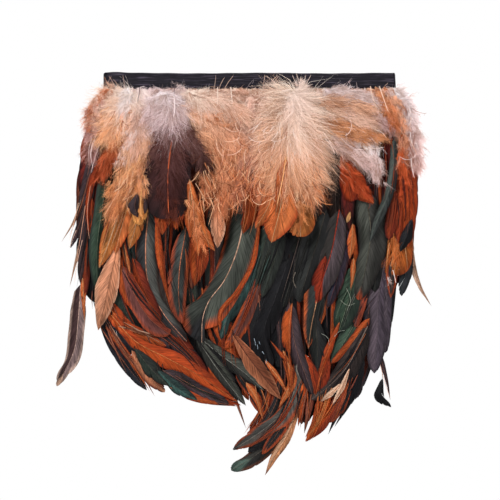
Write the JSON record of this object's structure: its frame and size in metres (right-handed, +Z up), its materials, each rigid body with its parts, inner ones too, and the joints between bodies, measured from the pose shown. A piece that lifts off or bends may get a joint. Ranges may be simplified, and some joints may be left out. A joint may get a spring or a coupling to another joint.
{
  "type": "feather cape panel",
  "caption": "Hanging panel of long rooster feathers under short fluffy plumes, sewn into a straight folded ribbon; sews on as a cape, shrug or trim.",
  "frame": {"origin": "middle of the ribbon's top fold, where the panel hangs or is sewn on", "axes": "+Z up, +X along the ribbon to the viewer's right, -Y the front with the fluffy plumes"},
  "size_m": [0.2996, 0.046, 0.3211],
  "materials": {
    "ribbon": "black satin ribbon",
    "cream_down": "fluffy cream down",
    "peach_down": "fluffy peach down",
    "lilac_down": "fluffy grey-lilac down",
    "rust_feather": "satin rust feather",
    "tan_feather": "soft tan feather",
    "bronze_feather": "glossy bronze-green to black feather",
    "slate_feather": "satin grey-brown feather"
  },
  "bodies": {
    "root": {"ribbon_band": "ribbon", "plume_1": "peach_down", "plume_2": "peach_down", "plume_3": "lilac_down", "plume_4": "peach_down", "plume_5": "cream_down", "plume_6": "peach_down", "plume_7": "lilac_down", "back_plume_1": "peach_down", "back_plume_2": "peach_down", "back_plume_3": "peach_down", "back_plume_4": "peach_down", "back_plume_5": "peach_down", "lock_1": "bronze_feather", "lock_2": "bronze_feather", "lock_3": "bronze_feather", "lock_4": "bronze_feather", "lock_5": "bronze_feather", "lock_6": "bronze_feather", "lock_7": "bronze_feather", "lock_8": "bronze_feather", "lock_9": "bronze_feather", "lock_10": "bronze_feather", "feather_left_edge_upper": "bronze_feather", "feather_left_edge_lower": "bronze_feather", "feather_left_droop": "slate_feather", "feather_left_tan": "tan_feather", "feather_left_rust_sweep": "rust_feather", "feather_left_dark_sweep": "bronze_feather", "feather_left_rust_round": "rust_feather", "feather_left_grey": "slate_feather", "feather_centre_s_curve": "bronze_feather", "feather_centre_fan_low": "bronze_feather", "feather_centre_fan_high": "bronze_feather", "feather_centre_tan": "tan_feather", "feather_centre_rust": "rust_feather", "feather_centre_black": "bronze_feather", "feather_centre_orange": "rust_feather", "feather_right_red_shaft": "bronze_feather", "feather_right_laced": "bronze_feather", "feather_right_green": "bronze_feather", "feather_right_slender_dark": "bronze_feather", "feather_right_rust": "rust_feather", "feather_right_purple": "slate_feather", "feather_right_dangle": "bronze_feather", "feather_right_slender_tan": "tan_feather", "feather_right_brown_sweep": "slate_feather", "feather_right_black_edge": "bronze_feather", "feather_low_orange": "rust_feather", "feather_tail_dark": "bronze_feather", "feather_tail_green": "bronze_feather", "feather_tail_tan": "tan_feather"}
  },
  "joints": []
}
